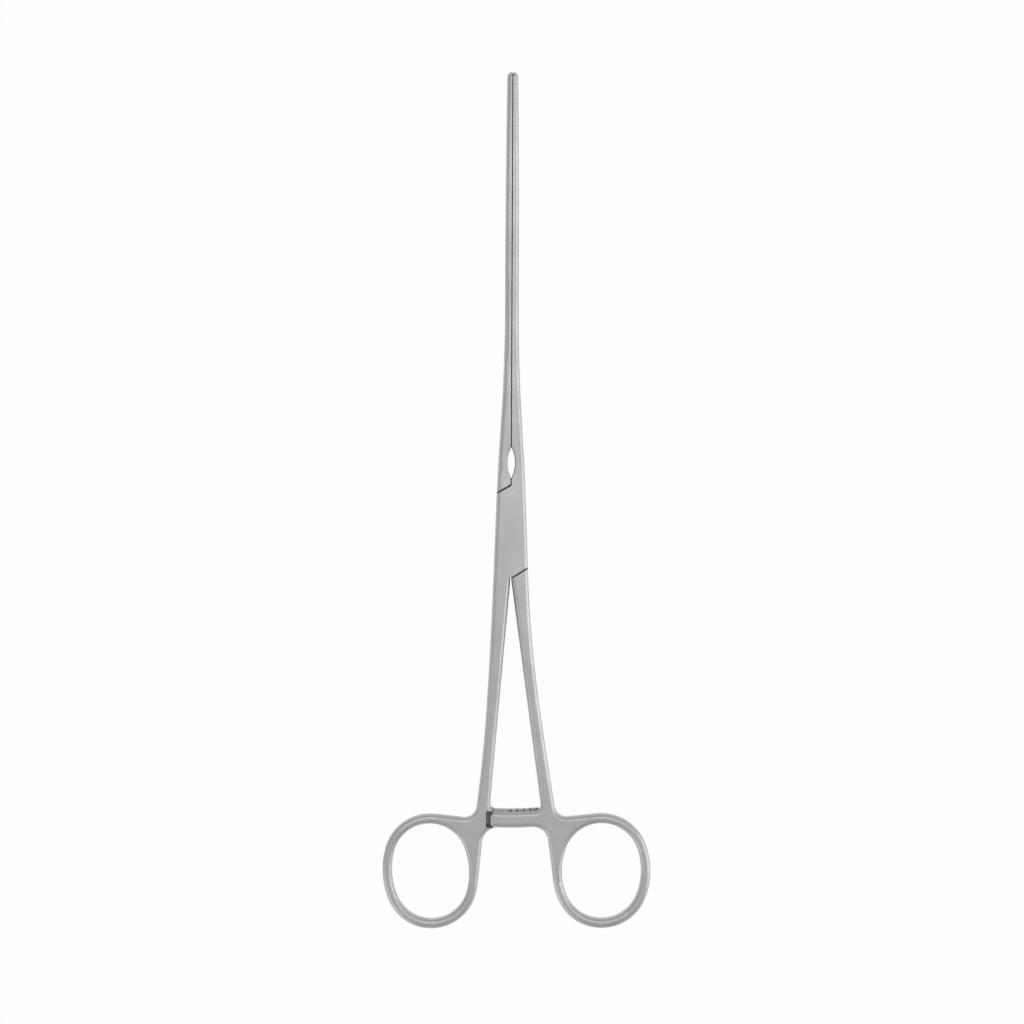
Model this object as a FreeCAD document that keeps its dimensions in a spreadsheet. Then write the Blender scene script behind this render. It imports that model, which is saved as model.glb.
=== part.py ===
import FreeCAD, Part
import math
import os

import Sketcher
from FreeCAD import Placement, Rotation, Vector

# Straight intestinal forceps, 24 cm, with a box lock, finger rings and a ratchet. Millimetres.
# It lies on its back. The origin is on the pivot's axis at the back face of the box, +Z comes out
# of the front face and +Y runs along the closed jaws to their tips.
# Each half is one forging. The box half has the right jaw, the slotted box, the left shank and
# ring and the back ratchet arm. The tongue half has the left jaw, the tongue that passes through
# the box, the right shank and ring and the front ratchet arm. A flush pin is their pivot.

DRIVING = {
    # Jaws, in plan. A half width is measured from the slit between the jaws.
    "tip_reach": (128.7, "pivot to the jaw tips"),
    "tip_half_width": (1.55, "jaw half width below the rounded tip"),
    "tip_round": (1.5, "height of the rounded tip"),
    "jaw_half_width": (1.93, "where the slim part of the jaw starts"),
    "jaw_start": (64.0, "pivot to the start of the slim part"),
    "heel_half_width": (3.04, "where the jaw leaves the box"),
    "heel_reach": (29.0, "pivot to the jaw's heel"),
    "jaw_gap": (0.28, "slit between the closed jaws"),
    # Box, in plan.
    "box_half_width": (4.42, "at the pivot"),
    "box_taper": (0.035, "half width gained for each mm towards the handles"),
    "box_head": (6.0, "pivot to the upper end of the straight box side"),
    "box_foot": (11.0, "pivot to the lower end of the straight box side"),
    "eye_top": (23.4, "pivot to the top of the eye under the jaws"),
    "eye_bottom": (15.1, "pivot to the bottom of the eye"),
    "eye_half_width": (1.04, "widest half width of the eye"),
    "upper_seam_inner": (12.65, "upper seam, at the slit"),
    "upper_seam_outer": (10.45, "upper seam, at the outer edge"),
    "lower_seam_inner": (13.05, "lower seam, at the slit"),
    "lower_seam_outer": (9.9, "lower seam, at the outer edge"),
    "crotch_drop": (0.6, "lower seam to where the shanks' inner edges part"),
    "seam_gap_narrow": (0.32, "seam clearance at its narrow end"),
    "seam_gap_wide": (0.6, "seam clearance at its wide end"),
    # Tongue and slot.
    "tongue_half_width": (3.3, "tongue in the box"),
    "tongue_thickness": (2.3, "tongue in the box"),
    "slot_play": (0.1, "clearance above and below the tongue"),
    "side_play": (0.12, "clearance beside the tongue"),
    "waist_end": (8.0, "pivot to the end of the tongue's straight sides"),
    "shoulder": (5.0, "pivot to where the tongue reaches the box's outer edge"),
    "waist_start": (2.0, "pivot to where the tongue has its least width"),
    "open_angle": (48.0, "travel of the slot, a little past the real opening"),
    "pin_diameter": (3.0, "pivot pin"),
    "pin_play": (0.04, "radial clearance of the pin in the tongue"),
    # Thickness, from front to back.
    "box_thickness": (6.6, "box"),
    "jaw_thickness": (4.4, "slim part of the jaws"),
    "handle_thickness": (4.4, "shank ends and rings"),
    "box_flat_up": (20.0, "pivot to where the thickness starts to fall, towards the jaws"),
    "box_flat_down": (17.0, "the same, towards the rings"),
    "jaw_flat": (74.0, "pivot to where the jaws have their own thickness"),
    "handle_flat": (70.0, "pivot to where the shanks have the rings' thickness"),
    # Shanks and rings, in plan. The two halves differ in how far their rings reach.
    "knee_reach": (50.0, "pivot to the station halfway down the shanks"),
    "left_hollow": (0.925, "left shank's outer edge, in from its straight line at that station"),
    "right_hollow": (1.125, "right shank's outer edge, in from its straight line there"),
    "left_foot": (9.83, "outer edge of the left shank where it meets the ring"),
    "right_foot": (13.09, "outer edge of the right shank where it meets the ring"),
    "left_inside": (5.9, "inner edge of the left shank at the ratchet"),
    "right_inside": (9.2, "inner edge of the right shank at the ratchet"),
    "left_ring_across": (22.18, "slit to the left ring's centre"),
    "right_ring_across": (25.72, "slit to the right ring's centre"),
    "left_ring_top": (79.23, "pivot to the top of the left ring"),
    "right_ring_top": (78.94, "pivot to the top of the right ring"),
    "left_ring_half_width": (10.8, "opening of the left ring"),
    "right_ring_half_width": (11.1, "opening of the right ring"),
    "ring_half_height": (13.38, "opening of both rings"),
    "ring_end_drop": (0.5, "half width less the radius of the ring's ends"),
    "left_ring_tilt": (3.9, "degrees that the left ring leans outwards"),
    "right_ring_tilt": (0.3, "degrees that the right ring leans outwards"),
    "left_ring_flank": (5.7, "degrees that the left ring's inner side leans, up to the arm"),
    "right_ring_flank": (7.4, "degrees that the right ring's inner side leans"),
    "ring_wall": (2.63, "band of the rings, in plan"),
    "ring_slope": (6.0, "degrees that the ring's top falls towards the shank"),
    # Ratchet. The arms are arcs about the pivot.
    "back_arm_inner": (77.8, "inner radius of the back arm"),
    "back_arm_outer": (83.1, "outer radius of the back arm"),
    "front_arm_inner": (78.6, "inner radius of the front arm"),
    "front_arm_outer": (83.0, "outer radius of the front arm"),
    "back_arm_end": (9.0, "slit to the end of the back arm"),
    "front_arm_end": (5.8, "slit to the end of the front arm"),
    "arm_root_inset": (0.8, "foot's outer edge to the arm's hidden root"),
    "nest_gap": (0.9, "gap in front of an arm's end, in the other handle"),
    "nest_sink": (1.0, "how far that gap runs on below the arm"),
    "nest_play": (0.15, "clearance beside an arm in the other handle"),
    "nest_lip": (1.7, "how far the nest's lips reach over the arm"),
    "arm_play": (0.1, "gap between the tooth tips of the two arms"),
    "tooth_depth": (0.5, "ratchet teeth"),
    "tooth_pitch": (1.34, "degrees from tooth to tooth, about the pivot"),
    "tooth_width": (1.5, "width of the notch between two teeth"),
    "tooth_first": (8.53, "arm's end to its last notch"),
    "tooth_count": (5, "notches in each arm"),
    # Jaw serration: ridges along the left grip stand in grooves along the right one.
    "groove_pitch": (0.75, "from groove to groove"),
    "groove_width": (0.5, "mouth of a groove and foot of a ridge"),
    "groove_depth": (0.25, "depth of a groove"),
    "groove_count": (4, "grooves, and ridges"),
    "ridge_play": (0.12, "gap between a ridge and the bottom of its groove"),
    "ridge_margin": (0.15, "plain face between the ridges and the eye or the seam"),
    "ridge_end": (0.5, "tips to the upper end of the ridges"),
    # Rounding.
    "edge_round": (1.3, "outer edges"),
    "ring_round": (1.2, "inner edges of the rings"),
    "eye_bevel": (0.3, "edges of the eye"),
    "armpit_round": (1.7, "shank's inner edge to the arm"),
    "crook_round": (3.3, "shank's outer edge to the ring"),
    "heel_round": (4.2, "arm to the ring"),
    "arm_end_round": (1.3, "corners of the arms"),
    "nest_round": (0.6, "corners of their nests"),
}

SPARE = 2.0  # how far a cut runs past the metal
NEAR = 0.1  # how far from a line a point can be and still count as on it
RING_ROUND = ((-1, -1), (-1, 1), (1, 1), (1, -1))  # a ring's arc joints, clockwise


class Size:
    """A number and the formula behind it: the number draws a sketch, the formula binds it."""

    def __init__(self, number, formula):
        self.number = number
        self.formula = formula

    def joined(self, other, sign, number):
        return Size(number, f"({self.formula} {sign} {other.formula})")

    def __add__(self, other):
        other = as_size(other)
        return self.joined(other, "+", self.number + other.number)

    def __sub__(self, other):
        other = as_size(other)
        return self.joined(other, "-", self.number - other.number)

    def __mul__(self, other):
        other = as_size(other)
        return self.joined(other, "*", self.number * other.number)

    def __truediv__(self, other):
        other = as_size(other)
        return self.joined(other, "/", self.number / other.number)

    def __neg__(self):
        return Size(-self.number, f"(-1 * {self.formula})")


def as_size(value):
    return value if isinstance(value, Size) else Size(float(value), repr(float(value)))


def root(size):
    return Size(math.sqrt(size.number), f"sqrt({size.formula})")


def sine(angle):
    return Size(math.sin(math.radians(angle.number)), f"sin({angle.formula})")


def cosine(angle):
    return Size(math.cos(math.radians(angle.number)), f"cos({angle.formula})")


def tangent(angle):
    return Size(math.tan(math.radians(angle.number)), f"tan({angle.formula})")


def write_sheet(document):
    """Fills the spreadsheet and returns its cells as sizes."""
    sheet = document.addObject("Spreadsheet::Sheet", "sizes")
    cells = {}
    for row, (alias, (number, note)) in enumerate(DRIVING.items(), start=1):
        sheet.set(f"A{row}", note)
        sheet.set(f"B{row}", str(number))
        sheet.setAlias(f"B{row}", alias)
        cells[alias] = Size(float(number), f"sizes.{alias}")
    document.recompute()
    return cells


document = FreeCAD.newDocument("intestinal_forceps")
size = write_sheet(document)

half_gap = size["jaw_gap"] / 2
half_box = size["box_thickness"] / 2
half_tongue = size["tongue_thickness"] / 2
half_slot = half_tongue + size["slot_play"]
half_arm_play = size["arm_play"] / 2
crotch = size["lower_seam_inner"] + size["crotch_drop"]


def origin_item(body, role):
    return next(item for item in body.Origin.OriginFeatures if item.Role == role)


def new_sketch(body, name, plane="XY_Plane", height=None):
    """A sketch on one of the body's own planes, moved along its normal by height."""
    sketch = body.newObject("Sketcher::SketchObject", name)
    sketch.AttachmentSupport = [(origin_item(body, plane), "")]
    sketch.MapMode = "FlatFace"
    if height is not None:
        sketch.AttachmentOffset = Placement(Vector(0, 0, height.number), Rotation())
        sketch.setExpression("AttachmentOffset.Base.z", height.formula)
    return sketch


def bind(sketch, kind, spots, value):
    """Adds one measured constraint and ties it to the sheet."""
    index = sketch.addConstraint(Sketcher.Constraint(kind, *spots, value.number))
    sketch.setExpression(f"Constraints[{index}]", value.formula)


def pin_point(sketch, edge, end, x, y):
    """Holds a point of the sketch at x, y from the sketch's origin."""
    bind(sketch, "DistanceX", (-1, 1, edge, end), as_size(x))
    bind(sketch, "DistanceY", (-1, 1, edge, end), as_size(y))


class Trace:
    """A closed outline, drawn from corner to corner. Each corner is bound to the sheet."""

    def __init__(self, sketch, corner):
        self.sketch = sketch
        self.start = corner
        self.here = corner
        self.way = None
        self.first = None
        self.last = None

    def spot(self):
        return Vector(self.here[0].number, self.here[1].number, 0)

    def add(self, shape, begin, finish, corner, smooth=False):
        edge = self.sketch.addGeometry(shape, False)
        if self.first is None:
            self.first = (edge, begin)
            pin_point(self.sketch, edge, begin, *self.start)
        else:
            kind = "Tangent" if smooth else "Coincident"
            self.sketch.addConstraint(Sketcher.Constraint(kind, *self.last, edge, begin))
        self.last = (edge, finish)
        self.here = corner
        if corner is self.start:
            self.sketch.addConstraint(Sketcher.Constraint("Coincident", *self.last, *self.first))
        else:
            pin_point(self.sketch, edge, finish, *corner)
        return edge

    def line(self, corner):
        begin = self.spot()
        end = Vector(corner[0].number, corner[1].number, 0)
        self.way = (end - begin).normalize()
        self.add(Part.LineSegment(begin, end), 1, 2, corner)

    def arc_about(self, centre, begin, end, left):
        """The arc from begin to end, with the centre to the left of the way or not."""
        radius = (begin - centre).Length
        turns = [math.atan2(p.y - centre.y, p.x - centre.x) for p in (begin, end)]
        low, high = turns if left else turns[::-1]
        if high < low:
            high += 2 * math.pi
        circle = Part.Circle(centre, Vector(0, 0, 1), radius)
        spoke = (end - centre).normalize()
        self.way = Vector(-spoke.y, spoke.x, 0) if left else Vector(spoke.y, -spoke.x, 0)
        return Part.ArcOfCircle(circle, low, high), (1, 2) if left else (2, 1)

    def flow(self, corner):
        """An arc that leaves the last edge smoothly."""
        begin = self.spot()
        end = Vector(corner[0].number, corner[1].number, 0)
        chord = end - begin
        side = Vector(-self.way.y, self.way.x, 0)
        offset = chord.dot(side)
        if abs(offset) < 1e-6 * chord.Length:
            self.line(corner)
            return
        reach = chord.Length ** 2 / (2 * offset)
        shape, ends = self.arc_about(begin + side * reach, begin, end, reach > 0)
        self.add(shape, *ends, corner, smooth=True)

    def bow(self, corner, radius):
        """An arc of a given radius, with its centre to the right of the way."""
        begin = self.spot()
        end = Vector(corner[0].number, corner[1].number, 0)
        chord = end - begin
        side = Vector(chord.y, -chord.x, 0).normalize()
        rise = math.sqrt(radius.number ** 2 - (chord.Length / 2) ** 2)
        centre = begin + chord / 2 + side * rise
        shape, ends = self.arc_about(centre, begin, end, False)
        edge = self.add(shape, *ends, corner)
        bind(self.sketch, "Radius", (edge,), radius)

    def close(self):
        self.line(self.start)


def extrude(body, kind, name, sketch, length, symmetric=False, backwards=False):
    """A pad or pocket of the sketch, bound to the sheet."""
    feature = body.newObject(f"PartDesign::{kind}", name)
    feature.Profile = sketch
    feature.Length = length.number
    feature.setExpression("Length", length.formula)
    if symmetric:
        feature.SideType = "Symmetric"
    feature.Reversed = backwards
    sketch.Visibility = False
    document.recompute()
    return feature


def cut(body, name, sketch, length, symmetric=False, backwards=False):
    """A pocket that must take metal away."""
    before = body.Shape.Volume
    feature = extrude(body, "Pocket", name, sketch, length, symmetric, backwards)
    if body.Shape.Volume > before - 1e-3:
        raise RuntimeError(f"{body.Label}: {name} cuts nothing")
    return feature


def dress(body, kind, name, edges, value):
    """A fillet or chamfer on the named edges of the body as it stands."""
    if not edges:
        raise RuntimeError(f"{body.Label}: {name} finds no edge")
    base = body.Tip
    feature = body.newObject(f"PartDesign::{kind}", name)
    feature.Base = (base, edges)
    prop = "Radius" if kind == "Fillet" else "Size"
    setattr(feature, prop, value.number)
    feature.setExpression(prop, value.formula)
    document.recompute()
    return feature


def is_upright(edge):
    ends = [vertex.Point for vertex in edge.Vertexes]
    return len(ends) == 2 and math.hypot(ends[0].x - ends[1].x, ends[0].y - ends[1].y) < 1e-6


def upright_edge_near(shape, x, y):
    """The name of the upright edge that stands nearest to x, y."""
    found = None
    for number, edge in enumerate(shape.Edges, start=1):
        if is_upright(edge):
            foot = edge.Vertexes[0].Point
            distance = math.hypot(foot.x - x, foot.y - y)
            if found is None or distance < found[0]:
                found = (distance, f"Edge{number}")
    return found[1]


def middle_of(edge):
    return edge.valueAt((edge.FirstParameter + edge.LastParameter) / 2)


def rim_edges(shape, wanted):
    """Names of the edges between a wall and the front or back, where wanted(middle) holds."""
    walls = {}
    for face in shape.Faces:
        low_u, high_u, low_v, high_v = face.ParameterRange
        normal = face.normalAt((low_u + high_u) / 2, (low_v + high_v) / 2)
        for edge in face.Edges:
            walls.setdefault(edge.hashCode(), []).append(abs(normal.z) < 0.1)
    names = []
    for number, edge in enumerate(shape.Edges, start=1):
        if sorted(walls[edge.hashCode()]) == [False, True] and wanted(middle_of(edge)):
            names.append(f"Edge{number}")
    return names


def box_edge(along):
    """Half width of the straight-sided box at a height along the instrument."""
    return size["box_half_width"] - size["box_taper"] * along


class Half:
    """The sizes of one half. It is drawn with its jaw on +X, its shank on -X and its arm at the
    back; the tongue half is then turned over, front to back, about the instrument's length."""

    def __init__(self, label, hand, arm, other_arm):
        self.label = label
        self.foot = size[f"{hand}_foot"]
        self.inside = size[f"{hand}_inside"]
        self.ring_x = -size[f"{hand}_ring_across"]
        self.ring_y = -size[f"{hand}_ring_top"] - size["ring_half_height"] - size["ring_wall"]
        self.ring_tilt = size[f"{hand}_ring_tilt"]
        self.hole_half_width = size[f"{hand}_ring_half_width"]
        self.end_radius = self.hole_half_width - size["ring_end_drop"]
        self.end_reach = size["ring_half_height"] - self.end_radius
        drop = size["ring_end_drop"]
        self.side_reach = self.end_reach * self.end_reach / (drop * 2) - drop / 2
        self.side_radius = self.hole_half_width + self.side_reach
        self.arm_inner = size[f"{arm}_arm_inner"]
        self.arm_outer = size[f"{arm}_arm_outer"]
        self.arm_end = size[f"{arm}_arm_end"]
        self.mate_inner = size[f"{other_arm}_arm_inner"]
        self.mate_outer = size[f"{other_arm}_arm_outer"]
        self.mate_end = size[f"{other_arm}_arm_end"]
        self.arm_level = -(self.arm_inner + self.arm_outer) / 2
        across = self.inside - half_gap
        along = -self.arm_level - crotch
        self.inner_slope = across / along
        share = size["crotch_drop"] / root(across * across + along * along)
        self.fork = (-half_gap - across * share, -crotch - along * share)
        slope = size["ring_slope"]
        top = self.ring_spot(as_size(0), self.end_reach)
        reach = self.end_radius + size["ring_wall"]
        self.ring_top = (top[0] + reach * sine(slope), top[1] + reach * cosine(slope))
        fall = (-self.foot - self.ring_top[0]) * tangent(slope)
        self.crook = (-self.foot, self.ring_top[1] - fall)
        start = box_edge(-size["box_foot"])
        way = (size["knee_reach"] - size["box_foot"]) / (-self.crook[1] - size["box_foot"])
        self.knee = start + (self.foot - start) * way - size[f"{hand}_hollow"]
        flank = size[f"{hand}_ring_flank"]
        side = self.ring_spot(-self.side_reach, as_size(0))
        reach = self.side_radius + size["ring_wall"]
        self.flank_foot = (side[0] + reach * cosine(flank), side[1] - reach * sine(flank))
        self.flank_slope = tangent(flank)

    def ring_spot(self, across, along):
        """A point given from the ring's centre, across it and along its tilted height."""
        tilt = self.ring_tilt
        x = self.ring_x + across * cosine(tilt) - along * sine(tilt)
        y = self.ring_y + across * sine(tilt) + along * cosine(tilt)
        return x, y

    def ring_joint(self, across, along, wall):
        """Where an end arc meets a side arc: across and along are 1 or -1, wall the way out."""
        span = self.side_radius - self.end_radius
        share = (self.end_radius + wall) / span
        x = self.side_reach * share
        y = self.end_reach * (share + 1)
        return self.ring_spot(x * across, y * along)

    def flank_across(self, along):
        """The inner side between ring and arm, at a height along the instrument."""
        return self.flank_foot[0] + (along - self.flank_foot[1]) * self.flank_slope


box = Half("box_half", "left", "back", "front")
tongue = Half("tongue_half", "right", "front", "back")


def trace_jaw(trace):
    """From the box's outer edge up round the jaw, down the slit and round half the eye."""
    trace.line((box_edge(size["box_head"]), size["box_head"]))
    trace.flow((size["heel_half_width"], size["heel_reach"]))
    trace.flow((size["jaw_half_width"], size["jaw_start"]))
    trace.flow((size["tip_half_width"], size["tip_reach"] - size["tip_round"]))
    trace.flow((half_gap, size["tip_reach"]))
    trace.line((half_gap, size["eye_top"]))
    chord = size["eye_top"] - size["eye_bottom"]
    rise = size["eye_half_width"] - half_gap
    radius = (chord * chord / 4 + rise * rise) / (rise * 2)
    trace.bow((half_gap, size["eye_bottom"]), radius)


def trace_handle(trace, half):
    """From the box's outer edge down the shank, inside the ring and up to the crotch."""
    trace.line((-box_edge(-size["box_foot"]), -size["box_foot"]))
    trace.flow((-half.knee, -size["knee_reach"]))
    trace.flow(half.crook)
    trace.line(half.ring_top)
    wall = size["ring_wall"]
    for across, along in ((-1, 1), (-1, -1), (1, -1)):
        trace.flow(half.ring_joint(across, along, wall))
    trace.flow(half.flank_foot)
    trace.line((half.flank_across(half.arm_level), half.arm_level))
    trace.line((-half.inside, half.arm_level))
    trace.line(half.fork)
    trace.flow((-half_gap, -size["lower_seam_inner"]))


def draw_plan(sketch, half):
    """Plan of a half: jaw, box, shank and the metal between shank and ring."""
    low = -size["lower_seam_outer"]
    high = size["upper_seam_outer"]
    trace = Trace(sketch, (box_edge(low), low))
    trace_jaw(trace)
    trace.line((half_gap, size["upper_seam_inner"]))
    trace.line((-box_edge(high), high))
    trace_handle(trace, half)
    trace.close()


def draw_corners(sketch, corners):
    trace = Trace(sketch, corners[0])
    for corner in corners[1:]:
        trace.line(corner)
    trace.close()


def draw_circle(sketch, radius):
    circle = sketch.addGeometry(Part.Circle(Vector(), Vector(0, 0, 1), radius.number), False)
    sketch.addConstraint(Sketcher.Constraint("Coincident", circle, 3, -1, 1))
    bind(sketch, "Radius", (circle,), radius)


def draw_finger_hole(sketch, half):
    """The opening of the ring: two side arcs and two end arcs, all tangent."""
    joints = [half.ring_joint(across, along, 0) for across, along in RING_ROUND]
    trace = Trace(sketch, joints[0])
    trace.bow(joints[1], half.side_radius)
    for joint in (*joints[2:], joints[0]):
        trace.flow(joint)


def draw_sector(sketch, inner, outer, x_from, x_to):
    """A stretch of a band about the pivot, below it, between two distances from the slit."""
    arcs = []
    for radius in (inner, outer):
        low = math.asin(x_from.number / radius.number) - math.pi / 2
        high = math.asin(x_to.number / radius.number) - math.pi / 2
        circle = Part.Circle(Vector(), Vector(0, 0, 1), radius.number)
        arc = sketch.addGeometry(Part.ArcOfCircle(circle, low, high), False)
        sketch.addConstraint(Sketcher.Constraint("Coincident", arc, 3, -1, 1))
        bind(sketch, "Radius", (arc,), radius)
        bind(sketch, "DistanceX", (-1, 1, arc, 1), x_from)
        bind(sketch, "DistanceX", (-1, 1, arc, 2), x_to)
        arcs.append(arc)
    for end, spot in ((1, "StartPoint"), (2, "EndPoint")):
        points = [getattr(sketch.Geometry[arc], spot) for arc in arcs]
        line = sketch.addGeometry(Part.LineSegment(*points), False)
        sketch.addConstraint(Sketcher.Constraint("Coincident", line, 1, arcs[0], end))
        sketch.addConstraint(Sketcher.Constraint("Coincident", line, 2, arcs[1], end))


def on_circle(radius, x):
    """The point of a circle about the pivot, below it, at a distance from the slit."""
    return x.number, -math.sqrt(radius.number ** 2 - x.number ** 2)


def blend(body, name, corners, value):
    """Rounds the upright edges that stand at these corners."""
    edges = [upright_edge_near(body.Shape, x, y) for x, y in corners]
    dress(body, "Fillet", name, edges, value)


def blend_corners(body, half):
    """Rounds the upright inner corners between shank, ring and arm, and the arm's end."""
    blend(body, "crook", [(half.crook[0].number, half.crook[1].number)], size["crook_round"])
    armpit = -half_gap - half.inner_slope * (half.arm_inner - crotch)
    blend(body, "armpit", [on_circle(half.arm_inner, armpit)], size["armpit_round"])
    heel = half.flank_across(-half.arm_outer)
    blend(body, "heel", [on_circle(half.arm_outer, heel)], size["heel_round"])
    corners = [on_circle(radius, half.arm_end) for radius in (half.arm_inner, half.arm_outer)]
    blend(body, "arm_corners", corners, size["arm_end_round"])


def thin_sides(body, blank):
    """Cuts the front and back to the forging's thickness: thick box, slim jaws and rings."""
    sketch = new_sketch(body, "side_view", "YZ_Plane")
    tip = size["tip_reach"] + SPARE
    bottom = -size["left_ring_top"] - (size["ring_half_height"] + size["ring_wall"]) * 2 - SPARE
    rise = (size["jaw_flat"] + size["box_flat_up"]) / 2
    fall = -(size["handle_flat"] + size["box_flat_down"]) / 2
    for face in (1, -1):
        top = (blank / 2 + SPARE) * face
        jaw = size["jaw_thickness"] / 2 * face
        handle = size["handle_thickness"] / 2 * face
        middle = half_box * face
        trace = Trace(sketch, (tip, top))
        trace.line((bottom, top))
        trace.line((bottom, handle))
        trace.line((-size["handle_flat"], handle))
        trace.flow((fall, (handle + middle) / 2))
        trace.flow((-size["box_flat_down"], middle))
        trace.line((size["box_flat_up"], middle))
        trace.flow((rise, (jaw + middle) / 2))
        trace.flow((size["jaw_flat"], jaw))
        trace.line((tip, jaw))
        trace.close()
    wide = (size["right_ring_across"] + size["right_ring_half_width"]) * 4
    cut(body, "thickness", sketch, wide, symmetric=True)


def is_in_hole(half, spot):
    """Whether a point is on the edge of the ring's opening and not on its outer edge."""
    middle = Vector(half.ring_x.number, half.ring_y.number, spot.z)
    step = Rotation(Vector(0, 0, 1), -half.ring_tilt.number) * (spot - middle)
    half_wall = size["ring_wall"] / 2
    across = step.x / (half.hole_half_width + half_wall).number
    along = step.y / (size["ring_half_height"] + half_wall).number
    return math.hypot(across, along) < 1


def is_outer(half, spot):
    """Whether a point is on the outline, away from seams, eye, slit and finger hole."""
    if is_in_hole(half, spot):
        return False
    if spot.y > (size["tip_reach"] - size["tip_round"]).number:
        return spot.x > half_gap.number + NEAR
    if spot.y > size["upper_seam_inner"].number:
        return spot.x > size["eye_half_width"].number + NEAR
    if spot.y > -size["lower_seam_inner"].number:
        return abs(spot.x) > box_edge(as_size(spot.y)).number - NEAR
    return True


def is_eye(spot):
    """Whether a point is on the edge of the eye, below the jaws' slit."""
    if not size["eye_bottom"].number < spot.y < size["eye_top"].number:
        return False
    return half_gap.number + NEAR < spot.x < size["eye_half_width"].number + NEAR


def forge(half):
    """The forging of one half: plan, ring, arm, thickness and rounded edges."""
    body = document.addObject("PartDesign::Body", half.label)
    body.Label = half.label
    blank = size["box_thickness"] + SPARE
    plan = new_sketch(body, "plan")
    draw_plan(plan, half)
    extrude(body, "Pad", "blank", plan, blank, symmetric=True)
    arm = new_sketch(body, "arm_plan")
    hidden = -(half.foot - size["arm_root_inset"])
    draw_sector(arm, half.arm_inner, half.arm_outer, hidden, half.arm_end)
    extrude(body, "Pad", "arm", arm, blank, symmetric=True)
    blend_corners(body, half)
    hole = new_sketch(body, "finger_hole_plan")
    draw_finger_hole(hole, half)
    cut(body, "finger_hole", hole, blank, symmetric=True)
    thin_sides(body, blank)
    outer = rim_edges(body.Shape, lambda spot: is_outer(half, spot))
    dress(body, "Fillet", "rims", outer, size["edge_round"])
    inner = rim_edges(body.Shape, lambda spot: is_in_hole(half, spot))
    dress(body, "Fillet", "ring_rims", inner, size["ring_round"])
    dress(body, "Chamfer", "eye_edges", rim_edges(body.Shape, is_eye), size["eye_bevel"])
    return body


def cut_slot(body):
    """The way of the tongue through the box: its two walls stop the instrument's opening."""
    clear = size["side_play"]
    wall = size["tongue_half_width"] + clear
    end = size["waist_end"]
    stop = wall * tangent(size["open_angle"] / 2)
    beyond = size["box_half_width"] + SPARE
    upper = size["upper_seam_inner"]
    lower = size["lower_seam_inner"]
    sketch = new_sketch(body, "slot_plan")
    corners = [
        (wall, stop),
        (wall, end),
        (half_gap + clear, upper),
        (-half_gap, upper + SPARE),
        (-beyond, upper + SPARE),
        (-beyond, -stop),
        (-wall, -stop),
        (-wall, -end),
        (-half_gap - clear, -lower),
        (half_gap, -lower - SPARE),
        (beyond, -lower - SPARE),
        (beyond, stop),
    ]
    draw_corners(sketch, corners)
    cut(body, "slot", sketch, half_slot * 2, symmetric=True)


def cut_waist(body):
    """Leaves the tongue between the box's plates: its sides, then its front and back."""
    waist = size["tongue_half_width"]
    beyond = size["box_half_width"] + SPARE
    shoulder = size["shoulder"]
    upper = size["upper_seam_inner"]
    lower = size["lower_seam_inner"]
    for name, inner, turn in (("upper_side", upper, 1), ("lower_side", lower, -1)):
        corners = [
            (half_gap, inner),
            (-waist, size["waist_end"]),
            (-waist, -size["waist_start"]),
            (-box_edge(-shoulder), -shoulder),
            (-beyond, -shoulder),
            (-beyond, inner + SPARE),
        ]
        sketch = new_sketch(body, f"{name}_plan")
        draw_corners(sketch, [(across * turn, along * turn) for across, along in corners])
        cut(body, name, sketch, size["box_thickness"] + SPARE, symmetric=True)
    narrow = size["seam_gap_narrow"]
    wide = size["seam_gap_wide"]
    upper_slope = (upper - size["upper_seam_outer"]) / box_edge(size["upper_seam_outer"])
    lower_slope = (lower - size["lower_seam_outer"]) / box_edge(-size["lower_seam_outer"])
    corners = [
        (-beyond, upper + wide),
        (half_gap, upper + wide),
        (beyond, upper + narrow - beyond * upper_slope),
        (beyond, -lower - narrow),
        (-half_gap, -lower - narrow),
        (-beyond, -lower - wide + beyond * lower_slope),
    ]
    for name, face in (("front", 1), ("back", -1)):
        sketch = new_sketch(body, f"{name}_plate_plan", height=half_tongue * face)
        draw_corners(sketch, corners)
        cut(body, f"{name}_plate_seat", sketch, half_box, backwards=face > 0)


def drill_pivot(body, radius):
    sketch = new_sketch(body, "pivot_plan")
    draw_circle(sketch, radius)
    cut(body, "pivot_hole", sketch, size["box_thickness"] + SPARE, symmetric=True)


def lap_arm(body, half, closed):
    """Halves the arm's thickness, so that the two arms pass, and sinks the other arm's nest.
    The nest has a wall below the other arm, or runs out there."""
    play = size["nest_play"]
    depth = size["handle_thickness"] / 2 + SPARE
    bottom = -half.mate_end - size["nest_gap"]
    lip = bottom + size["nest_lip"]
    lap = new_sketch(body, "lap_plan", height=-half_arm_play)
    band = (half.arm_inner - 2 * SPARE, half.arm_outer + SPARE)
    draw_sector(lap, *band, lip, half.arm_end + SPARE)
    cut(body, "lap", lap, depth, backwards=True)
    nest = new_sketch(body, "nest_plan", height=-half_arm_play)
    band = (half.mate_inner - play, half.mate_outer + (play if closed else SPARE))
    draw_sector(nest, *band, bottom, lip + SPARE)
    cut(body, "nest", nest, depth, backwards=True)
    sink = new_sketch(body, "nest_sink_plan", height=-half_arm_play)
    draw_sector(sink, *band, bottom, -half.mate_end)
    cut(body, "nest_sink", sink, size["nest_sink"])
    corners = [on_circle(edge, bottom) for edge in (band if closed else band[:1])]
    blend(body, "nest_corners", corners, size["nest_round"])


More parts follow.
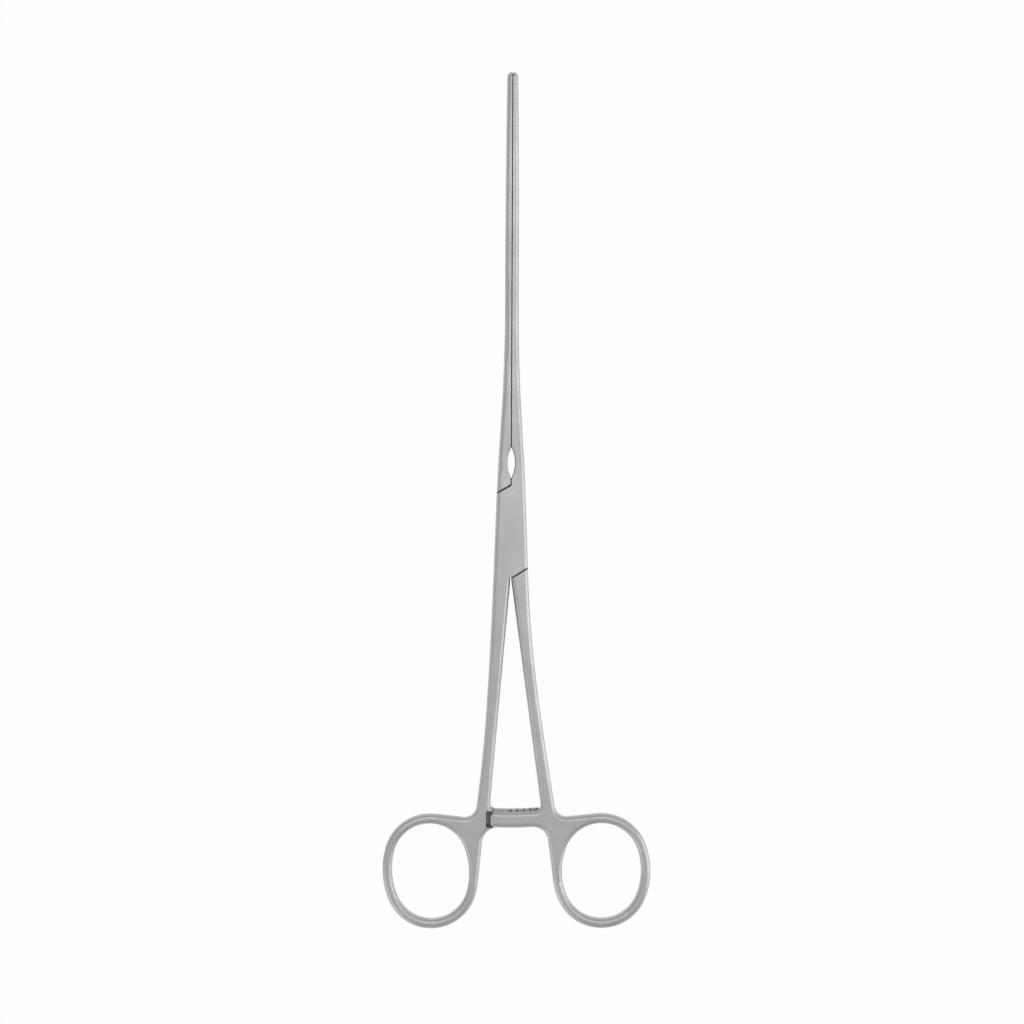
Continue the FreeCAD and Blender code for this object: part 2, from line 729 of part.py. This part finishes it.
def cut_teeth(body, half):
    """Ratchet notches on the arm's inner face, each with one steep side."""
    face = -half_arm_play
    steep = half.arm_end - size["tooth_first"]
    ramp = steep - size["tooth_width"]
    sketch = new_sketch(body, "notch_section", "XZ_Plane", half.arm_outer + SPARE)
    corners = [(steep, -face), (steep, face - size["tooth_depth"]), (ramp, face), (ramp, -face)]
    draw_corners(sketch, corners)
    notch = cut(body, "notch", sketch, half.arm_outer - half.arm_inner + 2 * SPARE)
    pattern = body.newObject("PartDesign::PolarPattern", "notches")
    pattern.Originals = [notch]
    pattern.Axis = (origin_item(body, "Z_Axis"), [""])
    pattern.setExpression("Angle", "(sizes.tooth_count - 1) * sizes.tooth_pitch")
    pattern.setExpression("Occurrences", "sizes.tooth_count")
    body.Tip = pattern
    document.recompute()


def repeat_along_thickness(body, name, feature):
    """Repeats a groove or a ridge from the back of the grip to its front."""
    pattern = body.newObject("PartDesign::LinearPattern", name)
    pattern.Originals = [feature]
    pattern.Direction = (origin_item(body, "Z_Axis"), [""])
    pattern.setExpression("Length", "(sizes.groove_count - 1) * sizes.groove_pitch")
    pattern.setExpression("Occurrences", "sizes.groove_count")
    body.Tip = pattern
    document.recompute()


def grip_section(body, name, far_end, foot, rise):
    """The section of the first groove or ridge: straight from its foot to the grip's face,
    then narrowing to a point that is the rise away from the face."""
    first = -size["groove_pitch"] * (size["groove_count"] - 1) / 2
    spread = size["groove_width"] / 2
    sketch = new_sketch(body, name, "XZ_Plane", -far_end)
    corners = [
        (foot, first - spread),
        (half_gap, first - spread),
        (half_gap + rise, first),
        (half_gap, first + spread),
        (foot, first + spread),
    ]
    draw_corners(sketch, corners)
    return sketch


def cut_grooves(body):
    """Fine grooves along the grip of the right jaw."""
    far_end = size["tip_reach"] + SPARE
    section = grip_section(body, "groove_section", far_end, half_gap / 2, size["groove_depth"])
    length = far_end - size["upper_seam_inner"]
    groove = cut(body, "groove", section, length, backwards=True)
    repeat_along_thickness(body, "grooves", groove)


def raise_ridges(body):
    """Fine ridges along the left grip, which stand in the other jaw's grooves. The eye parts
    them into a short stretch above the seam and a long one up to the tips."""
    height = size["jaw_gap"] + size["groove_depth"] - size["ridge_play"]
    margin = size["ridge_margin"]
    stretches = (
        ("short_ridge", size["upper_seam_inner"] + margin, size["eye_bottom"] - margin),
        ("long_ridge", size["eye_top"] + margin, size["tip_reach"] - size["ridge_end"]),
    )
    for name, low, high in stretches:
        section = grip_section(body, f"{name}_section", high, half_gap * 2, -height)
        ridge = extrude(body, "Pad", name, section, high - low)
        repeat_along_thickness(body, f"{name}s", ridge)


def make_box_half():
    body = forge(box)
    cut_slot(body)
    drill_pivot(body, size["pin_diameter"] / 2)
    lap_arm(body, box, closed=True)
    cut_teeth(body, box)
    cut_grooves(body)
    return body


def make_tongue_half():
    body = forge(tongue)
    cut_waist(body)
    drill_pivot(body, size["pin_diameter"] / 2 + size["pin_play"])
    lap_arm(body, tongue, closed=False)
    cut_teeth(body, tongue)
    raise_ridges(body)
    body.Placement = Placement(Vector(), Rotation(Vector(0, 1, 0), 180))
    return body


def make_pivot_pin():
    """The pivot pin, ground flush with the box."""
    body = document.addObject("PartDesign::Body", "pivot_pin")
    body.Label = "pivot_pin"
    sketch = new_sketch(body, "pin_plan")
    draw_circle(sketch, size["pin_diameter"] / 2)
    extrude(body, "Pad", "pin", sketch, size["box_thickness"], symmetric=True)
    return body


bodies = [make_box_half(), make_tongue_half(), make_pivot_pin()]
for body in bodies:
    body.setExpression("Placement.Base.z", "sizes.box_thickness / 2")
document.recompute()

for item in document.Objects:
    if "Invalid" in item.State or "Error" in item.State:
        raise RuntimeError(f"{item.Label} failed: {item.State}")
for body in bodies:
    shape = body.Shape
    if shape.isNull() or not shape.isValid() or len(shape.Solids) != 1:
        raise RuntimeError(f"{body.Label} isn't one valid solid")

os.makedirs("parts", exist_ok=True)
for body in bodies:
    body.Shape.exportStep(f"parts/{body.Label}.step")
    print(f"{body.Label}: {body.Shape.Volume / 1000:.2f} cm3, {body.Shape.BoundBox}")
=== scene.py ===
# %% [markdown]
# Intestinal forceps, 24 cm, seen from the front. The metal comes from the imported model: two forged
# halves and the pin they turn on. Nothing soft is on it, so this file gives the steel its finish and
# lights it.

# %% Load the frame
import math

import bpy
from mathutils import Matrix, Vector


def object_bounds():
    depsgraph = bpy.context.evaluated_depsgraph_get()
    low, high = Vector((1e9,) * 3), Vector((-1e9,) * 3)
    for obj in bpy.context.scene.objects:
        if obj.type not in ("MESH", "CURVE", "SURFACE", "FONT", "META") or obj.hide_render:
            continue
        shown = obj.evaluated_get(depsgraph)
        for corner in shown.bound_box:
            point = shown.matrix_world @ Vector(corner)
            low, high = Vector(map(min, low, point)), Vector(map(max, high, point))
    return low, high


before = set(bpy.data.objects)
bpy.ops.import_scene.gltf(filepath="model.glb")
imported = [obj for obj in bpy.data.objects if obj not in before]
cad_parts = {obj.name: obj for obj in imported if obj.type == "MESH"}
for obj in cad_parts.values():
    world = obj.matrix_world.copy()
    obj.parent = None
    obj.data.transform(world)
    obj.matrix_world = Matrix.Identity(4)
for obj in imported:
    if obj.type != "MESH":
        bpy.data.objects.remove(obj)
cad_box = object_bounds()
print("nodes:", sorted(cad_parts))
print("CAD box, m:", [[round(value, 5) for value in corner] for corner in cad_box])

# %% [markdown]
# Sizes are written in millimetres, as they are on the maker's drawing, and colours as the hex values
# that a colour picker shows. Blender works in metres and in linear light, so one factor turns the
# sizes and one function turns the colours.

# %% Units and colours
MM = 0.001


def linear(hex_colour):
    """Linear red, green, blue and alpha of an sRGB hex colour."""
    shares = [int(hex_colour[place:place + 2], 16) / 255 for place in (1, 3, 5)]
    light = [s / 12.92 if s <= 0.04045 else ((s + 0.055) / 1.055) ** 2.4 for s in shares]
    return (*light, 1.0)


print("mid grey #808080 in linear light:", round(linear("#808080")[0], 3))

# %% [markdown]
# Both materials and the room's light are graphs of nodes. One helper adds a node, sets its plain
# settings, fills its sockets with values and links the sockets that are given as another node's
# output. A socket is named by its label, or by its place where two sockets share a label.

# %% Helpers for node graphs
def add_node(tree, kind, inputs=None, **settings):
    """Adds one node. inputs maps a socket's label or place to a value or to an output socket."""
    node = tree.nodes.new(kind)
    for name, value in settings.items():
        setattr(node, name, value)
    for socket, value in (inputs or {}).items():
        if isinstance(value, bpy.types.NodeSocket):
            tree.links.new(value, node.inputs[socket])
        else:
            node.inputs[socket].default_value = value
    return node


def new_tree(name):
    """A material with an empty graph."""
    material = bpy.data.materials.new(name)
    material.use_nodes = True
    material.node_tree.nodes.clear()
    return material, material.node_tree


# %% [markdown]
# The real finish is stainless steel that was forged, ground and then blasted with glass beads. The
# beads leave a field of tiny shallow dents, so the metal doesn't mirror the room: it glows softly,
# with a wide highlight, and a flat face looks pale grey with a very fine grain. Such a finish could
# be painted as a picture, but noise that is worked out at each point has no seams, and its scale is
# a real size. Three noises are used. A bead's dent is about 0.05 mm across, which is finer than a
# pixel of the picture, so the grain is drawn at 0.35 mm. Clouds of 9 mm stand for the places where
# fingers and washing have left the blast finish a little smoother. The wheel's lines run along the
# instrument under the dents, so the third noise is fine across it and stretched along Y.

# %% Grain, clouds and grinding lines
GRAIN_MM = 0.35
CLOUD_MM = 9.0
GRIND_MM = 0.5
GRIND_STRETCH = 20


def steel_noises(tree):
    """The values of the grain, the clouds and the grinding lines, each about 0.5 on average."""
    place = add_node(tree, "ShaderNodeTexCoord").outputs["Object"]
    grain = add_node(tree, "ShaderNodeTexNoise", {
        "Vector": place, "Scale": 1 / (GRAIN_MM * MM), "Detail": 2.0, "Roughness": 0.6})
    clouds = add_node(tree, "ShaderNodeTexNoise", {
        "Vector": place, "Scale": 1 / (CLOUD_MM * MM), "Detail": 3.0, "Roughness": 0.55})
    along = add_node(tree, "ShaderNodeMapping", {
        "Vector": place, "Scale": (1.0, 1 / GRIND_STRETCH, 1.0)})
    grind = add_node(tree, "ShaderNodeTexNoise", {
        "Vector": along.outputs["Vector"], "Scale": 1 / (GRIND_MM * MM), "Detail": 2.0})
    return [noise.outputs["Fac"] for noise in (grain, clouds, grind)]


print("grains to a centimetre:", round(10 / GRAIN_MM))

# %% [markdown]
# Steel's own colour is the base colour, and two things change it. Clouds and grain lift or lower it
# by
# a few per cent: nearly all of a noise's values lie between 0.3 and 0.7, so that range is mapped to
# the two tones. And the bottoms of the seams, the ratchet's notches and the slit between the jaws lie
# in shade, so painted shade darkens the colour there. It could be masked by hand, gap by gap. An
# ambient occlusion node finds every gap by itself: it sends out short rays and tells how much of the
# sky the metal around a point leaves open, and where that is little the painted shade is mixed in.

# %% Colour and painted shade in the gaps
STEEL = "#c3c3c1"
NOISE_RANGE = (0.3, 0.7)
CLOUD_TONES = (0.93, 1.04)
GRAIN_TONES = (0.95, 1.05)
# Painted shade in the gaps: how far its rays reach, the range of open sky it fades over, and how dark
# it gets.
PAINTED_SHADE_RAY_MM = 1.5
PAINTED_SHADE_SKY = (0.15, 0.5)
PAINTED_SHADE_DARKEST = 0.12


def steel_colour(tree, grain, clouds):
    tone = add_node(tree, "ShaderNodeMapRange", {
        "Value": clouds, "From Min": NOISE_RANGE[0], "From Max": NOISE_RANGE[1],
        "To Min": CLOUD_TONES[0], "To Max": CLOUD_TONES[1]})
    speck = add_node(tree, "ShaderNodeMapRange", {
        "Value": grain, "From Min": NOISE_RANGE[0], "From Max": NOISE_RANGE[1],
        "To Min": GRAIN_TONES[0], "To Max": GRAIN_TONES[1]})
    # Painted shade: where little sky is open, the steel's colour is darkened to as little as 0.12 of
    # itself.
    open_sky = add_node(tree, "ShaderNodeAmbientOcclusion", {"Distance": PAINTED_SHADE_RAY_MM * MM}, samples=8)
    painted_shade = add_node(tree, "ShaderNodeMapRange", {
        "Value": open_sky.outputs["AO"], "From Min": PAINTED_SHADE_SKY[0], "From Max": PAINTED_SHADE_SKY[1],
        "To Min": PAINTED_SHADE_DARKEST, "To Max": 1.0})
    finish = add_node(tree, "ShaderNodeMath", {
        0: tone.outputs["Result"], 1: speck.outputs["Result"]}, operation="MULTIPLY")
    shade = add_node(tree, "ShaderNodeMath", {
        0: finish.outputs["Value"], 1: painted_shade.outputs["Result"]}, operation="MULTIPLY")
    colour = add_node(tree, "ShaderNodeVectorMath", {
        0: linear(STEEL)[:3], "Scale": shade.outputs["Value"]}, operation="SCALE")
    return colour.outputs["Vector"]


print("steel in linear light:", [round(value, 3) for value in linear(STEEL)[:3]])

# %% [markdown]
# Lines and dents are a few hundredths of a millimetre deep. As mesh they would need millions of
# faces, and nothing of them shows in the outline. So two bump nodes only tilt the way that the
# surface faces the light: the wheel's lines first, then the dents on top of them. A bevel node
# comes before both, because the model's edges at seams and slots are perfectly sharp and blasted
# ones aren't: it rounds the shading along them.

# %% Relief
EDGE_MM = 0.06
GRIND_DEPTH_MM = 0.02
GRIND_STRENGTH = 0.03
DENT_DEPTH_MM = 0.03
DENT_STRENGTH = 0.04


def steel_relief(tree, grain, grind):
    """The way that the surface faces, as the light sees it."""
    edges = add_node(tree, "ShaderNodeBevel", {"Radius": EDGE_MM * MM}, samples=4)
    lines = add_node(tree, "ShaderNodeBump", {
        "Height": grind, "Normal": edges.outputs["Normal"],
        "Strength": GRIND_STRENGTH, "Distance": GRIND_DEPTH_MM * MM})
    dents = add_node(tree, "ShaderNodeBump", {
        "Height": grain, "Normal": lines.outputs["Normal"],
        "Strength": DENT_STRENGTH, "Distance": DENT_DEPTH_MM * MM})
    return dents.outputs["Normal"]


print("rounding of the edges, mm:", EDGE_MM)

# %% [markdown]
# The three parts meet in one shader. Metallic is 1, and the index of refraction stays at the default,
# as for any metal. Steel from the bead cabinet has a roughness of about 0.5, and the clouds take it
# down a little where the finish is worn. All three pieces of the forceps have this one finish, so
# they share the material.

# %% Bead-blasted stainless steel
BLASTED = 0.50
WORN = 0.44
WEAR_RANGE = (0.25, 0.75)


def bead_blasted_steel():
    material, tree = new_tree("bead_blasted_stainless_steel")
    grain, clouds, grind = steel_noises(tree)
    gloss = add_node(tree, "ShaderNodeMapRange", {
        "Value": clouds, "From Min": WEAR_RANGE[0], "From Max": WEAR_RANGE[1],
        "To Min": BLASTED, "To Max": WORN})
    steel = add_node(tree, "ShaderNodeBsdfPrincipled", {
        "Base Color": steel_colour(tree, grain, clouds), "Metallic": 1.0,
        "Roughness": gloss.outputs["Result"], "Normal": steel_relief(tree, grain, grind)})
    add_node(tree, "ShaderNodeOutputMaterial", {"Surface": steel.outputs["BSDF"]})
    return material


steel = bead_blasted_steel()
for name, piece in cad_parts.items():
    piece.data.materials.clear()
    piece.data.materials.append(steel)
    print("steel on:", name)

# %% [markdown]
# The forceps lie on a white table: a wide plane a hair's breadth below them, so that two faces never
# share a place. A table that is lit white would throw light back at the metal, so its paint is a
# plain pale grey, and only what the camera and the metal's reflections see of it is lifted to white.
# The lift is a mix, so a trace of the forceps' own soft shadow stays.

# %% The white table
TABLE_MM = 6000
TABLE_GAP_MM = 0.02
TABLE_PAINT = "#e4e4e4"
TABLE_LIFT = 0.97
WHITE = "#ffffff"


def white_table():
    bpy.ops.mesh.primitive_plane_add(size=TABLE_MM * MM, location=(0, 0, -TABLE_GAP_MM * MM))
    floor = bpy.context.object
    floor.name = "white_table"
    material, tree = new_tree("white_painted_table")
    paint = add_node(tree, "ShaderNodeBsdfDiffuse", {"Color": linear(TABLE_PAINT)})
    lift = add_node(tree, "ShaderNodeEmission", {"Color": linear(WHITE), "Strength": 1.0})
    ray = add_node(tree, "ShaderNodeLightPath")
    seen = add_node(tree, "ShaderNodeMath", {
        0: ray.outputs["Is Camera Ray"], 1: ray.outputs["Is Glossy Ray"]}, operation="MAXIMUM")
    share = add_node(tree, "ShaderNodeMath", {
        0: seen.outputs["Value"], 1: TABLE_LIFT}, operation="MULTIPLY")
    surface = add_node(tree, "ShaderNodeMixShader", {
        0: share.outputs["Value"], 1: paint.outputs["BSDF"], 2: lift.outputs["Emission"]})
    add_node(tree, "ShaderNodeOutputMaterial", {"Surface": surface.outputs["Shader"]})
    floor.data.materials.append(material)
    print("table, mm:", TABLE_MM)


white_table()

# %% [markdown]
# Satin metal shows the room more than the lamps. A panorama of a real studio would do, but an even
# grey world gives the same calm reflections and needs no picture. Only the camera sees it as white,
# past the table's edge. The overhead lamp hangs above the jaws, so the flats near the box look paler
# than those near the rings. A lamp low on each side draws the light bands along the rounded edges.
# The right one is the stronger, so the right jaw is the paler one, as in the photograph.

# %% Soft studio light
ROOM = 0.5
BACKDROP = 1.0


def studio_room():
    world = bpy.data.worlds.new("studio_room")
    bpy.context.scene.world = world
    world.use_nodes = True
    tree = world.node_tree
    tree.nodes.clear()
    ray = add_node(tree, "ShaderNodeLightPath")
    walls = add_node(tree, "ShaderNodeBackground", {"Color": linear(WHITE), "Strength": ROOM})
    backdrop = add_node(tree, "ShaderNodeBackground", {"Color": linear(WHITE), "Strength": BACKDROP})
    room = add_node(tree, "ShaderNodeMixShader", {
        0: ray.outputs["Is Camera Ray"], 1: walls.outputs["Background"],
        2: backdrop.outputs["Background"]})
    add_node(tree, "ShaderNodeOutputWorld", {"Surface": room.outputs["Shader"]})


def soft_lamp(name, at_mm, size_mm, watts):
    """A square area lamp that faces the pivot."""
    lamp = bpy.data.lights.new(name, "AREA")
    lamp.shape = "SQUARE"
    lamp.size = size_mm * MM
    lamp.energy = watts
    place = Vector([value * MM for value in at_mm])
    holder = bpy.data.objects.new(name, lamp)
    holder.location = place
    holder.rotation_euler = place.to_track_quat("Z", "Y").to_euler()
    bpy.context.scene.collection.objects.link(holder)
    print(name, "hangs", round(place.length, 2), "m from the pivot")


studio_room()
soft_lamp("overhead_lamp", at_mm=(0, 350, 1000), size_mm=800, watts=2.0)
soft_lamp("left_lamp", at_mm=(-800, -600, 500), size_mm=700, watts=1.8)
soft_lamp("right_lamp", at_mm=(1000, 0, 450), size_mm=800, watts=3.4)

# %% [markdown]
# The picture was taken straight from the front, so the camera looks down on the table. Two measures
# of the photograph set its framing: the pixel where the pivot lies, and how many millimetres a pixel
# covers at half the box lock's thickness. The lens follows from that scale and from the distance,
# which is long, so that near and far parts have nearly one scale. The instrument leans by a quarter
# of a degree in the picture, so the camera is rolled by as much.

# %% The camera
PICTURE_PX = 1024
PIVOT_PX = (511.0, 531.4)
MM_PER_PX = 0.2804
ROLL_DEG = 0.23
DISTANCE_MM = 750
SENSOR_MM = 36.0


def straight_down_camera():
    lens = bpy.data.cameras.new("camera")
    camera = bpy.data.objects.new("camera", lens)
    bpy.context.scene.collection.objects.link(camera)
    across = (PICTURE_PX / 2 - PIVOT_PX[0]) * MM_PER_PX
    along = (PIVOT_PX[1] - PICTURE_PX / 2) * MM_PER_PX
    roll = math.radians(ROLL_DEG)
    x = across * math.cos(roll) - along * math.sin(roll)
    y = across * math.sin(roll) + along * math.cos(roll)
    middle = (cad_box[0][2] + cad_box[1][2]) / 2
    camera.location = (x * MM, y * MM, middle + DISTANCE_MM * MM)
    camera.rotation_euler = (0, 0, roll)
    lens.sensor_width = SENSOR_MM
    lens.lens = SENSOR_MM * DISTANCE_MM / (PICTURE_PX * MM_PER_PX)
    bpy.context.scene.camera = camera
    print("camera lens, mm:", round(lens.lens, 2))


straight_down_camera()
bpy.context.scene.view_settings.view_transform = "Standard"
